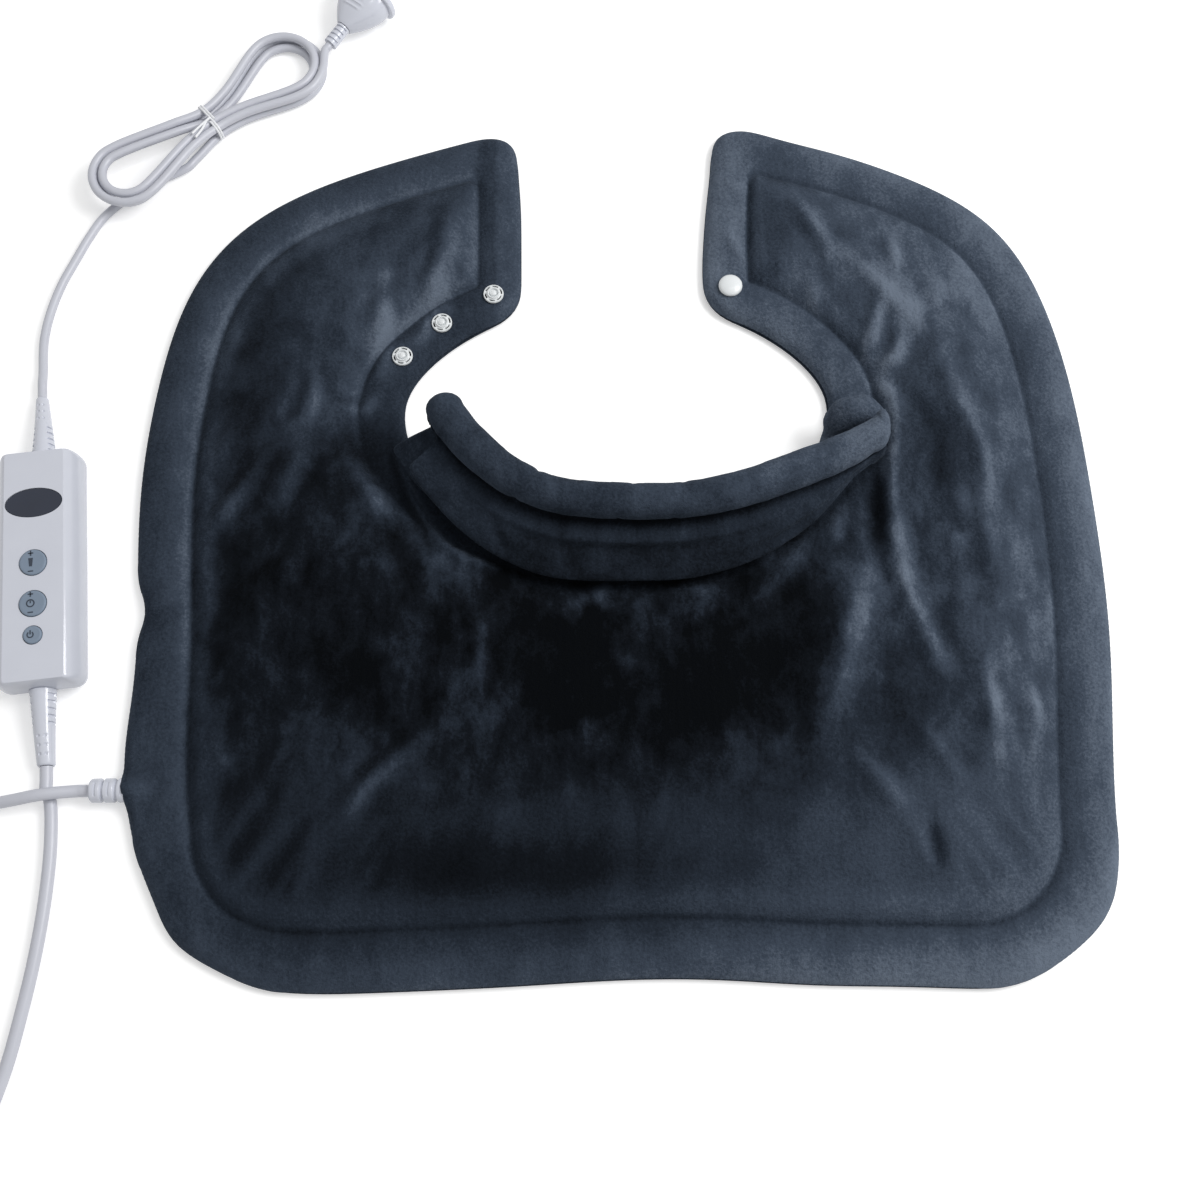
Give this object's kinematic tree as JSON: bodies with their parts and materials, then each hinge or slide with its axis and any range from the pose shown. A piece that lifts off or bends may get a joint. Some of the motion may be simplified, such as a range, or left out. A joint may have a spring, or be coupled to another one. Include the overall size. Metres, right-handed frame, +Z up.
{
  "type": "heating pad",
  "caption": "Neck and shoulder heating pad of dark plush with a turned-down collar, press studs, a wired hand controller, and a mains cord tied in a hank.",
  "frame": {"origin": "on the underside of the pad, in the middle of the back panel", "axes": "+X across the pad to the wearer's right as it lies, +Y from the back panel to the arms, +Z up"},
  "size_m": [0.73, 0.7649, 0.0584],
  "materials": {
    "plush": "short plush pile",
    "felt": "needled felt",
    "housing_plastic": "moulded, semi-gloss",
    "window_plastic": "polished, tinted",
    "key_plastic": "satin",
    "cord_plastic": "soft satin",
    "stud_plastic": "moulded",
    "tie_plastic": "coated wire",
    "steel": "plated",
    "board": "solder mask",
    "dark_plastic": "moulded",
    "capacitor_plastic": "dipped",
    "fuse_glass": "clear",
    "wire_coating": "extruded"
  },
  "bodies": {
    "pad": {"back_cover": "plush", "top_cover": "plush", "collar": "plush", "heater_carrier": "felt", "batting": "felt", "heating_wire": "wire_coating", "thermal_cutoff": "dark_plastic", "pad_socket": "housing_plastic", "pad_connector": "cord_plastic", "snap_socket_1": "stud_plastic", "snap_socket_1_back": "stud_plastic", "snap_socket_2": "stud_plastic", "snap_socket_2_back": "stud_plastic", "snap_socket_3": "stud_plastic", "snap_socket_3_back": "stud_plastic", "snap_cap": "stud_plastic", "snap_cap_back": "stud_plastic", "controller_top_shell": "housing_plastic", "controller_bottom_shell": "housing_plastic", "display_window": "window_plastic", "housing_screw_1": "steel", "housing_screw_2": "steel", "housing_screw_3": "steel", "housing_screw_4": "steel", "circuit_board": "board", "display_module": "dark_plastic", "temperature_up_switch": "dark_plastic", "temperature_down_switch": "dark_plastic", "timer_up_switch": "dark_plastic", "timer_down_switch": "dark_plastic", "power_switch": "dark_plastic", "microcontroller": "dark_plastic", "triac": "dark_plastic", "film_capacitor": "capacitor_plastic", "fuse": "fuse_glass", "bulk_capacitor": "dark_plastic", "strain_relief_mains": "cord_plastic", "strain_relief_heater": "cord_plastic", "mains_wire_live": "wire_coating", "mains_wire_neutral": "wire_coating", "heater_wire_feed": "wire_coating", "heater_wire_return": "wire_coating", "heater_lead": "cord_plastic", "mains_cord": "cord_plastic", "mains_hank": "cord_plastic", "mains_tail": "cord_plastic", "twist_tie": "tie_plastic", "plug_strain_relief": "cord_plastic", "plug_body": "cord_plastic", "plug_blade_left": "steel", "plug_blade_right": "steel"},
    "temperature_key": {"temperature_rocker": "key_plastic"},
    "timer_key": {"timer_rocker": "key_plastic"},
    "power_key": {"power_button": "key_plastic"}
  },
  "joints": [
    {"name": "temperature_press", "type": "hinge", "parent": "pad", "child": "temperature_key", "pos_m": [-0.332, 0.1092, 0.02215], "axis": [0.9949, 0.1011, 0], "range_deg": [-3, 3], "stiffness_Nm_per_rad": 0.15},
    {"name": "timer_press", "type": "hinge", "parent": "pad", "child": "timer_key", "pos_m": [-0.32952, 0.08482, 0.02215], "axis": [0.9949, 0.1011, 0], "range_deg": [-3, 3], "stiffness_Nm_per_rad": 0.15},
    {"name": "power_press", "type": "slide", "parent": "pad", "child": "power_key", "axis": [0, 0, -1], "range_m": [0, 0.0007], "stiffness_N_per_m": 1500}
  ]
}
